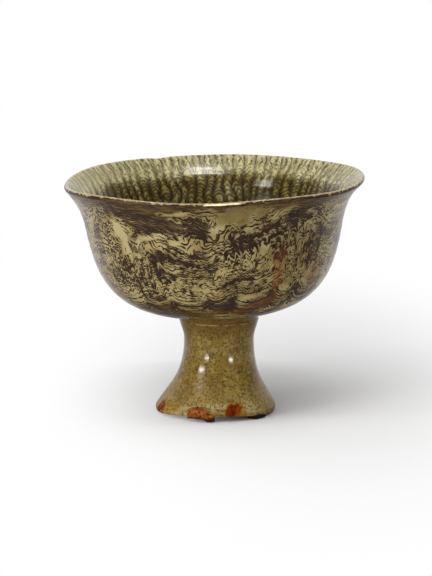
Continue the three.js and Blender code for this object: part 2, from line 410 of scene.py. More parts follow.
def makeBowl(materials):
    b = bowl
    outer, share, lipCentre = bowlOutside()
    along = np.gradient(outer, axis=0)
    along /= np.linalg.norm(along, axis=1)[:, None]
    wall = b["floorWall"] + (b["bodyWall"] - b["floorWall"]) * np.minimum(1, share / b["bodyWallFrom"])
    wall += (b["lipWall"] - wall) * smoothstep(b["lipWallFrom"], 1, share)
    inner = outer + np.stack([-along[:, 1], along[:, 0]], -1) * wall[:, None]
    flare = math.radians(b["lipFlare"])
    turns = np.linspace(-flare, math.pi - flare, 19)[1:-1]
    lip = lipCentre + b["lipWall"] / 2 * np.stack([np.cos(turns), np.sin(turns)], -1)
    flat = levelLine(np.linspace(0, b["seatRadius"], 5)[:-1], 0.0)
    floor = levelLine(np.linspace(inner[0, 0], 0, 26)[1:], b["floorWall"])
    line = np.concatenate([flat, outer, lip, inner[::-1], floor])
    crest = len(flat) + len(outer) + len(lip) // 2
    run = runAlong(line)
    run = run[crest] - run  # below the lip on the outside is positive, and on the inside negative
    points, turn = turnedGrid(line, b["columns"])
    arc = np.radians(turn)[None, :] * b["shoulder"][0]
    below = run[:, None]
    outerSide = smoothstep(-0.2, 0.6, below)
    lift = drawnUp(arc, below)
    lifted = below + lift * b["drawnUpDark"]
    fromWornAndHighlight = np.abs(turn - b["wornAndHighlightRim"]["turn"])[None, :]
    values = {
        "dark": blots(arc, lifted, b["dark"] + behind(11, 0.95), bowlAround) * outerSide,
        "pale": blots(arc, below, b["pale"] + behind(12, 0.9), bowlAround) * outerSide,
        "ochre": blots(arc, below, b["ochre"] + behind(13, 0.6), bowlAround) * outerSide,
        "rust": blots(arc, below, b["rust"] + behind(14, 0.4)[:3], bowlAround) * outerSide,
        "paleInside": blots(arc, below, b["paleInside"], bowlAround),
        "pinhole": blots(arc, below, b["shadedPinholes"], bowlAround),
        "worn": 1 - smoothstep(0.8, 1, fromWornAndHighlight / b["wornAndHighlightRim"]["reach"]),
    }
    arch, layers = combedLayers(points, turn, -below)
    dragged = draggedLayers(points, turn, arc, below, lift, values["dark"])
    layers = np.where(below > 0, dragged, layers)
    values.update(arch=arch, layers=layers, steepness=steepness(points, layers))
    ring = b["throwingRing"]
    wander = ring["wander"] * np.sin(np.radians(turn))[None, :]
    rings = 0.5 + 0.5 * np.sin(2 * math.pi * below / ring["step"] + wander)
    fade = smoothstep(*ring["fromLip"], np.abs(below)) * (line[:, 0] > ring["fromMiddle"])[:, None]
    points = pressIn(points, ring["depth"] * rings * fade)
    points = moveBowl(points, b["height"], b["shoulder"][1])
    inside = run[:-1] <= 0
    return skin("bowlWall", points, run, values, ["bowl"], materials, inside)


# A smooth random field over the points. Each kind of wave has about the given length, mostly stays
# within the given depth, and has its own seed.
def swell(points, waves, copies=20):
    total = np.zeros(points.shape[:2])
    for length, depth, seed in waves:
        draw = np.random.default_rng(seed)
        for _ in range(copies):
            towards = draw.normal(size=3)
            towards *= 2 * math.pi / (length * draw.uniform(0.7, 1.3) * np.linalg.norm(towards))
            total += depth / math.sqrt(copies) * np.cos(points @ towards + draw.uniform(0, 2 * math.pi))
    return total


# Round the bottom single tines drew the layers up to sharp peaks, with festoons between them. Gives
# how far up the layers came, in millimetres.
def drawnUp(arc, below):
    b = bowl
    draw = np.random.default_rng(15)
    peaks = list(b["drawnUp"])
    for at in np.arange(52, 255, 14):
        peaks.append((at + draw.uniform(-3, 3), draw.uniform(2, 5)))
    lift = np.zeros(np.broadcast(arc, below).shape)
    for at, height in peaks:
        away = np.abs((arc - at + bowlAround / 2) % bowlAround - bowlAround / 2)
        lift = np.maximum(lift, height * np.exp(-away / b["drawnUpReach"]))
    lift = lift * smoothstep(*b["drawnUpStarts"], below)
    return lift * (1 - smoothstep(*b["drawnUpEnds"], below))


# The layers of slip outside, as the height below the lip that they had before the clay was worked. They
# sagged, were folded by stirring, and a comb drew them up and down in places.
def draggedLayers(points, turn, arc, below, lift, dark):
    b = bowl
    sag = np.interp(turn[:-1], *zip(*b["sag"]))
    for _ in range(b["sagSoftness"]):
        sag = (np.roll(sag, 1) + 2 * sag + np.roll(sag, -1)) / 4
    layers = below + lift - np.append(sag, sag[0]) * (1 - smoothstep(*b["sagEnds"], below))
    loose = 1 - 0.8 * smoothstep(*b["levelFrom"], below)
    calm = 1 - 0.6 * np.minimum(dark, 1)
    layers = layers + loose * calm * swell(points, b["stir"])
    depth = blots(arc, below, b["combed"], bowlAround) + swell(points, b["combUneven"])
    depth = b["combDepth"] * depth * loose * smoothstep(*b["combStarts"], below) * (1 - 0.7 * dark)
    track = turn / 360 * b["tines"] + swell(points, b["combWander"])
    arch = np.abs(np.sin(math.pi * track))
    return layers + depth * (arch - b["archMean"])


# The same inside, where a close comb was drawn all the way up: nested arches in columns, long over the
# lip and short in the well. Gives the arch too, which is nought in the tines' tracks.
def combedLayers(points, turn, depth):
    b = bowl
    track = turn / 360 * b["tinesInside"] + swell(points, b["wanderInside"])
    arch = np.abs(np.sin(math.pi * track))
    tall = b["archesInside"]
    drawn = tall["lip"] + (tall["well"] - tall["lip"]) * smoothstep(0, tall["depth"], depth)
    drawn = drawn * (1 + swell(points, b["unevenInside"]))
    return arch, depth + arch * drawn + swell(points, b["stirInside"])


# How fast the layers change along the skin, by which a line across them is drawn at an even width
def steepness(points, layers):
    wrapped = np.concatenate([layers[:, -2:-1], layers, layers[:, 1:2]], axis=1)
    around = np.concatenate([points[:, -2:-1], points, points[:, 1:2]], axis=1)
    across = np.gradient(wrapped, axis=1)[:, 1:-1]
    acrossBy = np.linalg.norm(np.gradient(around, axis=1), axis=-1)[:, 1:-1]
    along = np.gradient(layers, axis=0)
    alongBy = np.linalg.norm(np.gradient(points, axis=0), axis=-1)
    slope = np.hypot(across / np.maximum(acrossBy, 0.02), along / np.maximum(alongBy, 0.02))
    return slope.clip(0.15, 6)


# The side that the photograph doesn't show carries blots of the same kinds, from a fixed seed
def behind(seed, strength):
    draw = np.random.default_rng(seed)
    return [
        (
            arc + draw.uniform(-7, 7),
            draw.uniform(6, 46),
            draw.uniform(7, 15),
            draw.uniform(2.6, 5),
            draw.uniform(-35, 35),
            strength * draw.uniform(0.6, 1),
        )
        for arc in np.linspace(72, 235, 7)
    ]


# The foot and the slip that joins it to the bowl, in millimetres. Its blots lie above the ring.
foot = {
    "stemTopRadius": 14.95,
    "stemNeck": 2.8,
    "waist": (13.1, 26.5),
    "flare": 14.5,
    "radius": 22.42,
    "edgeHeight": 2.0,
    "edgeSlope": (3.5, 5.9),
    "ringOuter": 21.7,
    "ringInner": 17.4,
    "hollowRoof": 4.2,
    "hollowTop": 8.0,
    "hollowWaist": 8.4,
    "hollowBelly": 9.6,
    "slipFillet": 0.9,
    "glazeEnds": -0.2,
    "columns": 360,
    "rust": [
        (6.4, 2.4, 2.9, 4.6, 0, 1.0),
        (8.0, 3.8, 2.4, 3.2, 0, 0.9),
        (-26.5, 2.0, 4.2, 3.8, 0, 0.8),
    ],
    "ochre": [
        (8.6, 2.8, 4.2, 4.6, 0, 0.8),
        (-22, 2.6, 8, 4.4, 0, 0.55),
        (17, 4, 5, 2.5, 0, 0.3),
        (30, 4, 6, 3, 0, 0.4),
    ],
    "thin": [
        (-2, 4.4, 12, 1.3, 4, 0.9),
        (14, 4.0, 6, 3.0, -20, 0.8),
        (-16, 1.0, 9, 0.8, 0, 0.9),
    ],
}


def footOutside():
    f = foot
    top = levels["foot"]
    edge = (f["radius"], f["edgeHeight"])
    rounding = bezier(
        (f["ringOuter"], 0),
        (f["ringOuter"] + 0.6 * (f["radius"] - f["ringOuter"]), 0),
        (f["radius"], f["edgeHeight"] * 0.4),
        edge,
        16,
    )
    flare = bezier(
        edge,
        (f["radius"] - f["edgeSlope"][0], f["edgeHeight"] + f["edgeSlope"][1]),
        (f["waist"][0], f["waist"][1] - f["flare"]),
        f["waist"],
        90,
    )
    neck = bezier(
        f["waist"],
        (f["waist"][0], f["waist"][1] + f["stemNeck"]),
        (f["stemTopRadius"] - 0.2 * f["stemNeck"], top - f["stemNeck"]),
        (f["stemTopRadius"], top),
        30,
    )
    return np.concatenate([rounding, flare[1:], neck[1:]])


def makeFoot(materials):
    f = foot
    top = levels["foot"]
    roof = top - f["hollowRoof"]
    hollow = bezier(
        (f["hollowTop"], roof),
        (f["hollowWaist"], f["waist"][1] - 6),
        (f["hollowBelly"], f["flare"] - 3),
        (f["ringInner"], 0),
        70,
    )
    ring = levelLine(np.linspace(f["ringInner"], f["ringOuter"], 14)[1:-1], 0.0)
    roofLine = levelLine(np.linspace(0.01, f["hollowTop"], 10)[:-1], roof)
    outer = footOutside()
    cap = levelLine(np.linspace(f["stemTopRadius"], 0.01, 6)[1:], top)
    line = np.concatenate([roofLine, hollow, ring, outer, cap])
    run = runAlong(line)
    start = len(roofLine) + len(hollow) + len(ring)
    run = run - run[start]  # above the ring on the outside is positive
    points, turn = turnedGrid(line, f["columns"])
    arc = np.radians(turn)[None, :] * f["radius"]
    around = 2 * math.pi * f["radius"]
    above = run[:, None]
    values = {}
    for key in ("rust", "ochre", "thin"):
        spots = [(at, up, long, wide, -tilt, much) for at, up, long, wide, tilt, much in f[key]]
        values[key] = blots(arc, above, spots, around)
    points = moveFoot(points)
    bare = run[:-1] < f["glazeEnds"]
    return skin("hollowFoot", points, run, values, ["foot"], materials, bare)


def makeSlipJoint(materials):
    f = foot
    m = clayMoved
    tall = levels["slip"] + levels["seatGap"]
    radius, fillet = f["stemTopRadius"], f["slipFillet"]
    line = bezier(
        (radius - 0.1, -0.15),
        (radius + fillet * 0.1, tall * 0.5),
        (radius + fillet * 0.4, tall * 0.85),
        (radius + fillet, tall + 0.2),
        16,
    )
    line = np.concatenate([[(8, -0.15)], line, [(8, tall + 0.2)]])
    points = turnedGrid(line, f["columns"])[0]
    x, y, z = points[..., 0], points[..., 1], points[..., 2]
    share = np.clip(z / tall, 0, 1)
    lift = share * math.tan(math.radians(m["bowlLean"])) * x
    stemTop = m["footCentre"] + m["stemShift"]
    shift = stemTop + share * m["bowlShift"]
    points = np.stack([x + shift, y, z + lift + levels["footTop"]], axis=-1)
    run = runAlong(line)
    return skin("slipJoint", points, run, {}, ["luting_slip"], materials)


# What is left of the kiln wads. Each has its turn from the front and its width in degrees, then how far it
# stands out and how far it climbs over the edge in millimetres, the share of the climb at its right end,
# how high its left end hangs above the floor, how square its ends are and how far up it is painted black,
# for kiln burning and as painted shade under the foot's edge.
wads = {
    "inside": 0.8,
    "bulge": 0.35,
    "lipWall": 0.9,
    "gap": 0.3,
    "left": [
        ("kiln_wad_front_left", -14, 27, 1.2, 3.6, 0.3, 1.1, 7, 0.8),
        ("kiln_wad_front_right", 49.5, 16, 0.2, 0.5, 0.55, 0, 3, 2.0),
        ("kiln_wad_right", 107, 15, 0.0, 0.4, 0.55, 0, 3, 0.5),
        ("kiln_wad_back", 168, 21, 0.6, 1.0, 0.7, 0, 3, 0.3),
        ("kiln_wad_back_left", 229, 18, 0.3, 0.6, 0.55, 0, 3, 0.8),
    ],
    "sections": 65,
    "roughness": 0.3,
    "grain": 0.9,
}


def makeWad(wad, clay):
    w = wads
    f = foot
    name, middleTurn, width, outsideBy, climbBy, rightEnd, hang, square, burnt = wad
    outer = footOutside()
    sections = []
    for share in np.linspace(-1, 1, w["sections"]):
        angle = math.radians(middleTurn + share * width / 2 - 90)
        sag = -clayMoved["ringSag"] * math.cos(2 * angle + math.radians(clayMoved["ringSagTurn"]))
        ring = levels["wad"] + sag
        full = math.sqrt(1 - 0.85 * abs(share) ** square)
        ragged = 0.08 * math.sin(7 * share + width)
        innerRadius = f["ringInner"] - w["inside"]
        outerRadius = f["ringOuter"] + outsideBy
        middle = (innerRadius + outerRadius) / 2
        reach = (outerRadius - innerRadius) / 2 * (full + ragged)
        climb = climbBy * full * (1 - (1 - rightEnd) * float(smoothstep(0.3, 0.6, share)))
        bottom = hang * (1 - float(smoothstep(0, 0.5, share)))
        top = ring - w["gap"]
        halfway = climb * 0.45
        heights = np.array([halfway, climb])
        footHalfway, footTop = np.interp(heights, outer[:, 1], outer[:, 0]) + w["gap"] * 0.3
        edge = max(middle + reach, f["ringOuter"] + w["gap"] * 2)
        corners = [
            (middle - reach, bottom),
            (edge, bottom),
            (edge + w["bulge"], (bottom + top) / 2),
            (footHalfway + w["lipWall"] * full, ring + halfway),
            (footTop + w["lipWall"] * 0.6 * full, ring + climb),
            (footTop, ring + climb),
            (footHalfway, ring + halfway),
            (f["ringOuter"] + w["gap"] * 0.3, top + w["gap"]),
            (middle - reach * 0.94, top + w["gap"]),
        ]
        corners = rounded(corners)
        sections.append([(r * math.cos(angle), r * math.sin(angle), z) for r, z in corners])
    points = np.array(sections)
    points[..., 0] += clayMoved["footCentre"]
    points = roughened(points)
    rows, columns = points.shape[:2]
    faces = quads(rows, columns)[:, [0, 3, 2, 1]].tolist()
    faces += [list(range(columns)), list(range((rows - 1) * columns, rows * columns))[::-1]]
    mesh = newMesh(name, points, faces)
    mesh.update()
    keepValue(mesh, "burnt", np.full(len(mesh.vertices), burnt))
    mesh.materials.append(clay)
    words = name.split("_")
    pieceName = words[0] + "".join(word.capitalize() for word in words[1:])
    return place(bpy.data.objects.new(pieceName, mesh), [name])


# Presses a wad's sections in towards their middles by uneven depths, and never below the floor
def roughened(points):
    grain = [[noise.fractal(Vector(p) / wads["grain"], 0.6, 2.0, 4) for p in line] for line in points]
    inward = points.mean(axis=1, keepdims=True) - points
    inward /= np.maximum(np.linalg.norm(inward, axis=-1, keepdims=True), 1e-6)
    inward[..., 2] = np.maximum(inward[..., 2], 0)
    points = points + inward * (wads["roughness"] * (0.5 + np.array(grain)).clip(0, 1.2))[..., None]
    points[..., 2] = points[..., 2].clip(0, None)
    return points


# A closed line through the corners at small steps, with the corners rounded off
def rounded(corners):
    line = np.array(corners, float)
    for _ in range(3):
        after = np.roll(line, -1, axis=0)
        line = np.stack([0.78 * line + 0.22 * after, 0.22 * line + 0.78 * after], 1).reshape(-1, 2)
    return line


# Stoneware under marbled slip: pale and iron-brown slips run together, combed, and glazed. The eye gets
# dark lines that follow the drag of the layers in arches and teeth, crowd into streaky brown layers and
# leave bare patches of pale clay, under a clear gloss. Sizes in millimetres.
marblingOutside = {
    "pale": "#9B8B5B",
    "paleWarm": "#7F6B3D",
    "bare": "#A89C6E",
    "line": "#241608",
    "smudge": "#3F2913",
    "layer": "#352616",
    "hair": "#5E4B2E",
    "ochre": "#705E2A",
    "rust": "#7A3F06",
    "rimBand": "#35240D",
    "rimLight": "#594526",
    "rimSpots": "#2C1712",
    "rimEdge": "#9C8863",
    "worn": "#E6DCB4",
    "pinhole": "#0D0A07",
    "cloudMm": 9,
    "mottleMm": 3.4,
    "grainMm": 1.5,
    "rippleMm": 2.4,
    "drawnOut": (0.12, 0.12, 0.0),
    "streaksPerMm": 0.5,
    "hairsPerMm": 1.6,
    "rimStreaksPerMm": 1.1,
    "rimSpotsPerMm": 2.2,
    "lineSpacing": 1.85,
    "lineWidth": 0.42,
    "lineSoftness": 0.08,
    "teeth": 186,
    "toothDepth": 1.3,
    "toothPatchMm": 6,
    "roughness": 0.2,
}


def marbledStonewareOutside():
    p = marblingOutside
    material, add = newMaterial("marbledStonewareOutside")
    mm = add("VectorMath", "SCALE", add("TexCoord", {}, out=3), Scale=1000.0)
    turns = add("SeparateXYZ", {}, add("UVMap", {"uv_map": "wrap"}))
    run = add("Math", "MULTIPLY", turns.node.outputs[1], 1000.0)
    names = ["dark", "pale", "ochre", "rust", "layers", "steepness", "worn", "pinhole"]
    kept = [add("Attribute", {"attribute_name": name}, out=2) for name in names]
    dark, pale, ochre, rust, layers, steep, worn, pinhole = kept
    cloud = add("TexNoise", signed, mm, Scale=1 / p["cloudMm"], Detail=1.0)
    mottle = add("TexNoise", signed, mm, Scale=1 / p["mottleMm"], Detail=0.0)
    fine = add("TexNoise", signed, mm, Scale=1 / p["grainMm"], Detail=1.0)

    # The layers, with the small teeth of a finer comb in their own patches
    layers = add("Math", "MULTIPLY_ADD", fine, 0.3, layers)
    calm = add("MapRange", smooth, run, 38.0, 44.0, 1.0, 0.1)
    calm = add("Math", "MULTIPLY", calm, add("MapRange", smooth, run, 3.0, 9.0))
    calm = add("Math", "MULTIPLY", calm, add("Math", "MULTIPLY_ADD", dark, -0.6, 1.0))
    wander = add("Math", "MULTIPLY_ADD", turns, p["teeth"], add("Math", "MULTIPLY", mottle, 1.1))
    tooth = add("Math", "PINGPONG", wander, 0.5)
    toothed = add("TexNoise", {}, mm, Scale=1 / p["toothPatchMm"], Detail=1.0)
    toothed = add("MapRange", smooth, toothed, 0.4, 0.58, 0.2, p["toothDepth"] * 2)
    toothed = add("Math", "MULTIPLY", toothed, calm)
    layers = add("Math", "MULTIPLY_ADD", tooth, toothed, layers)
    steeper = add("Math", "MULTIPLY", add("Math", "MULTIPLY", toothed, toothed), 0.4)
    steep = add("Math", "SQRT", add("Math", "MULTIPLY_ADD", steep, steep, steeper))

    # Noise drawn out along the layers, for everything that is streaky
    around = add("VectorMath", "MULTIPLY", mm, p["drawnOut"])
    along = add("VectorMath", "ADD", around, add("CombineXYZ", {}, 0.0, 0.0, layers))
    streaks = add("TexNoise", signed, along, Scale=p["streaksPerMm"], Detail=2.0, Roughness=0.6)
    hairs = add("TexNoise", signed, along, Scale=p["hairsPerMm"], Detail=1.0, Roughness=0.6)

    # Dark lines at uneven steps, with second ones between them where they crowd in the dark layers,
    # and none on the bare patches
    uneven = add("Math", "MULTIPLY_ADD", streaks, 0.6, layers)
    wave = add("Math", "PINGPONG", uneven, p["lineSpacing"] / 2)
    between = add("Math", "SUBTRACT", p["lineSpacing"] / 2, wave)
    # Where the dark blots paint shade under the bowl, the lines crowd the same way
    crowd = add("Math", "MULTIPLY_ADD", cloud, 0.4, dark)
    crowd = add("Math", "MULTIPLY_ADD", streaks, 0.8, crowd)
    crowd = add("Math", "MULTIPLY_ADD", fine, 0.3, crowd)
    bare = add("Math", "MULTIPLY_ADD", mottle, 0.7, pale)
    bare = add("MapRange", smooth, bare, 0.4, 0.65)
    width = add("MapRange", {}, crowd, -0.5, 0.9, p["lineWidth"] * 0.35, p["lineWidth"] * 0.8)
    width = add("Math", "MULTIPLY_ADD", fine, 0.2, width)
    width = add("Math", "MULTIPLY_ADD", mottle, 0.14, width)
    width = add("Math", "MULTIPLY_ADD", bare, -1.0, width)
    secondWidth = add("MapRange", {}, crowd, 0.1, 0.9, -0.1, p["lineWidth"] * 0.7)
    line = 0.0
    for middle, half in ((wave, width), (between, secondWidth)):
        off = add("Math", "SUBTRACT", half, add("Math", "DIVIDE", middle, steep))
        drawn = add("MapRange", smooth, off, -p["lineSoftness"], p["lineSoftness"])
        line = add("Math", "MAXIMUM", line, drawn)
    layer = add("MapRange", smooth, crowd, 0.55, 1.2)
    smudge = add("MapRange", smooth, add("Math", "MULTIPLY_ADD", fine, 0.4, hairs), -0.05, 0.35)
    smudge = add("Math", "MULTIPLY", smudge, add("Math", "MULTIPLY_ADD", layer, 0.6, 0.15))

    # Stains of iron in the clay, and the colours of the lines and layers
    warm = add("MapRange", smooth, cloud, -0.25, 0.3, 0.0, 0.7)
    yellow = add("Math", "MULTIPLY_ADD", mottle, 0.4, ochre)
    yellow = add("MapRange", smooth, yellow, 0.2, 0.9, 0.0, 0.9)
    red = add("Math", "MULTIPLY_ADD", mottle, 0.5, rust)
    red = add("Math", "MULTIPLY_ADD", hairs, 0.5, red)
    red = add("MapRange", smooth, red, 0.1, 1.1, 0.0, 0.85)
    layerColour = layCoats(add, p, "layer", [(add("MapRange", smooth, hairs, -0.2, 0.3), "hair")])
    rusty = add("Math", "MULTIPLY", red, 0.5)
    lineColour = layCoats(add, p, "line", [(smudge, "smudge"), (rusty, "rust")])

    # Under the lip the slip ran thin and the iron bled out in streaks that follow the edge
    level = add("VectorMath", "ADD", around, add("CombineXYZ", {}, 0.0, 0.0, run))
    streak = add("TexNoise", {}, level, Scale=p["rimStreaksPerMm"], Detail=3.0, Roughness=0.65)
    band = add("Math", "MULTIPLY_ADD", cloud, 5.0, run)
    band = add("MapRange", smooth, band, 4.0, 7.0, 0.92, 0.0)
    band = add("Math", "MULTIPLY", band, add("Math", "MULTIPLY_ADD", yellow, -0.8, 1.0))
    lightStreak = add("MapRange", smooth, streak, 0.42, 0.6)
    darkStreak = add("MapRange", smooth, streak, 0.46, 0.38)
    bandColour = layCoats(add, p, "rimBand", [(lightStreak, "rimLight"), (darkStreak, "rimSpots")])
    spot = add("TexNoise", {}, level, Scale=p["rimSpotsPerMm"], Detail=2.0)
    spot = add("Math", "SUBTRACT", spot, add("MapRange", smooth, run, 0.9, 3.0, 0.5, 0.8))
    spot = add("MapRange", smooth, spot, 0.0, 0.06, 0.0, 0.85)
    edge = add("Math", "MULTIPLY_ADD", fine, 0.9, run)
    edge = add("Math", "MULTIPLY_ADD", mottle, 0.5, edge)
    edge = add("MapRange", smooth, edge, -0.05, 0.15, 1.0, 0.0)
    # The rubbed cream patch on the front rim, which is also a painted highlight
    rubbedAndHighlight = add("Math", "MULTIPLY_ADD", fine, 0.25, run)
    rubbedAndHighlight = add("MapRange", smooth, rubbedAndHighlight, 0.55, 0.7, 1.0, 0.0)
    rubbedAndHighlight = add("Math", "MULTIPLY", rubbedAndHighlight, worn)

    coats = [
        (warm, "paleWarm"),
        (add("MapRange", smooth, pale, 0.3, 0.9, 0.0, 0.8), "bare"),
        (yellow, "ochre"),
        (red, "rust"),
        (add("Math", "MULTIPLY", layer, 0.92), layerColour),
        (line, lineColour),
        (band, bandColour),
        (spot, "rimSpots"),
        (edge, "rimEdge"),
        (rubbedAndHighlight, "worn"),
        # Near-black pinholes: painted shade in the pits
        (add("MapRange", smooth, pinhole, 0.3, 0.6), "pinhole"),
    ]
    colour = layCoats(add, p, "pale", coats)
    ripple = add("TexNoise", {}, mm, Scale=1 / p["rippleMm"], Detail=2.0)
    bump = add("Bump", {}, Strength=0.25, Distance=0.0001, Height=ripple)
    shine = add("MapRange", {}, band, 0.0, 0.9, 0.5, 0.2)
    finish = {"Base_Color": colour, "Roughness": p["roughness"], "Specular_IOR_Level": shine}
    add("OutputMaterial", {}, Surface=add("BsdfPrincipled", {}, Normal=bump, **finish))
    return material


# The same slips inside the bowl, combed all the way up by a close row of tines: nested arches in
# columns, paler and drawn out to rays where the lip turns over
marblingInside = {
    "pale": "#C3B988",
    "deep": "#7D692B",
    "deepGreen": "#655313",
    "line": "#1F1502",
    "rimEdge": "#8E7C58",
    "cloudMm": 9,
    "mottleMm": 3.2,
    "grainMm": 1.3,
    "rippleMm": 2.4,
    "rays": 154,
    "lineSpacing": 1.65,
    "lineWidth": 0.4,
    "lineSoftness": 0.2,
    "roughness": 0.16,
}


def marbledStonewareInside():
    p = marblingInside
    material, add = newMaterial("marbledStonewareInside")
    mm = add("VectorMath", "SCALE", add("TexCoord", {}, out=3), Scale=1000.0)
    turns = add("SeparateXYZ", {}, add("UVMap", {"uv_map": "wrap"}))
    run = add("Math", "MULTIPLY", turns.node.outputs[1], -1000.0)
    names = ["arch", "layers", "steepness", "paleInside"]
    kept = [add("Attribute", {"attribute_name": name}, out=2) for name in names]
    # The last value paints light on the inside walls at the sides below the lip, thinning lines, rays and
    # pooled gloss there
    arch, layers, steep, paintedLight = kept
    cloud = add("TexNoise", signed, mm, Scale=1 / p["cloudMm"], Detail=1.0)
    mottle = add("TexNoise", signed, mm, Scale=1 / p["mottleMm"], Detail=0.0)
    fine = add("TexNoise", signed, mm, Scale=1 / p["grainMm"], Detail=1.0)
    deep = add("MapRange", smooth, run, 5.5, 14.0)

    # Nested arches, where each gap reads as one bright scale. The comb was lifted before the middle.
    layers = add("Math", "MULTIPLY_ADD", fine, 0.25, layers)
    layers = add("Math", "MULTIPLY_ADD", mottle, 0.55, layers)
    wave = add("Math", "PINGPONG", layers, p["lineSpacing"] / 2)
    width = add("Math", "MULTIPLY_ADD", fine, 0.45, p["lineWidth"] / 2)
    width = add("Math", "MULTIPLY_ADD", mottle, 0.25, width)
    width = add("Math", "MULTIPLY_ADD", deep, 0.2, width)
    width = add("Math", "MINIMUM", width, add("MapRange", smooth, run, 0.5, 8.0, 0.03, 0.5))
    off = add("Math", "SUBTRACT", width, add("Math", "DIVIDE", wave, steep))
    radius = add("VectorMath", "LENGTH", add("VectorMath", "MULTIPLY", mm, (1.0, 1.0, 0.0)))
    radius = add("Math", "MULTIPLY_ADD", cloud, 6.0, radius)
    combed = add("MapRange", smooth, radius, 4.0, 17.0, 0.12, 1.0)
    strength = add("Math", "MULTIPLY_ADD", deep, 0.14, 0.6)
    strength = add("Math", "MULTIPLY_ADD", paintedLight, -0.35, strength)
    strength = add("Math", "MULTIPLY", strength, combed)
    line = add("MapRange", smooth, off, -p["lineSoftness"], p["lineSoftness"], 0.0, strength)

    # The tines' own tracks, dark seams between the columns
    seam = add("Math", "MULTIPLY_ADD", mottle, 0.5, arch)
    seam = add("Math", "MULTIPLY_ADD", deep, -0.14, seam)
    seam = add("MapRange", smooth, seam, 0.12, 0.66, 1.0, 0.0)
    seam = add("Math", "MULTIPLY", seam, add("Math", "MULTIPLY_ADD", deep, 0.45, 0.35))
    seam = add("Math", "MULTIPLY", seam, combed)

    # Over the lip the slips are drawn out to rays that lean a little
    ray = add("Math", "MULTIPLY_ADD", run, 0.11, add("Math", "MULTIPLY", turns, p["rays"]))
    ray = add("Math", "PINGPONG", add("Math", "MULTIPLY_ADD", mottle, 0.5, ray), 0.5)
    ray = add("Math", "MULTIPLY_ADD", fine, 0.4, ray)
    strength = add("Math", "MULTIPLY_ADD", paintedLight, -0.4, 0.72)
    ray = add("MapRange", smooth, ray, 0.05, 0.24, strength, 0.0)
    ray = add("Math", "MULTIPLY", ray, add("MapRange", smooth, run, 4.0, 9.0, 1.0, 0.0))

    # The gloss pools deep and green in the well
    pool = add("Math", "MULTIPLY_ADD", cloud, 0.6, deep)
    pool = add("Math", "MULTIPLY_ADD", paintedLight, -0.6, pool)
    pool = add("MapRange", smooth, pool, 0.1, 1.1, 0.0, 0.95)
    green = add("MapRange", smooth, mottle, -0.2, 0.2)
    poolColour = layCoats(add, p, "deep", [(green, "deepGreen")])
    edge = add("MapRange", smooth, add("Math", "MULTIPLY_ADD", fine, 1.2, run), 0.2, 0.5, 1.0, 0.0)

    coats = [(pool, poolColour), (ray, "line"), (line, "line"), (seam, "line"), (edge, "rimEdge")]
    colour = layCoats(add, p, "pale", coats)
    ripple = add("TexNoise", {}, mm, Scale=1 / p["rippleMm"], Detail=2.0)
    bump = add("Bump", {}, Strength=0.2, Distance=0.0001, Height=ripple)
    finish = {"Base_Color": colour, "Roughness": p["roughness"], "IOR": 1.5}
    add("OutputMaterial", {}, Surface=add("BsdfPrincipled", {}, Normal=bump, **finish))
    return material


# Ash glaze fired on iron-bearing stoneware: olive, glossy and slightly rippled. The eye gets fine brown
# iron specks, warmer clouds towards the ring, a browner neck, and rust where the wads stood.
ashGlaze = {
    "olive": "#806A2B",
    "warm": "#6C4F15",
    "cool": "#908047",
    "low": "#A2863E",
    "speck": "#4E390B",
    "iron": "#38260A",
    "neck": "#654A18",
    "ringLine": "#9C8F5C",
    "thin": "#B3A474",
    "rust": "#702400",
    "rustDark": "#3C1200",
    "ochre": "#8A5E18",
    "cloudMm": 8,
    "mottleMm": 2,
    "freckleMm": 0.9,
    "patchMm": 1.5,
    "speckMm": 0.85,
    "ironMm": 1.5,
    "ringLineHeight": 35.85,
    "roughness": 0.14,
    "roughnessBelow": 0.36,
}


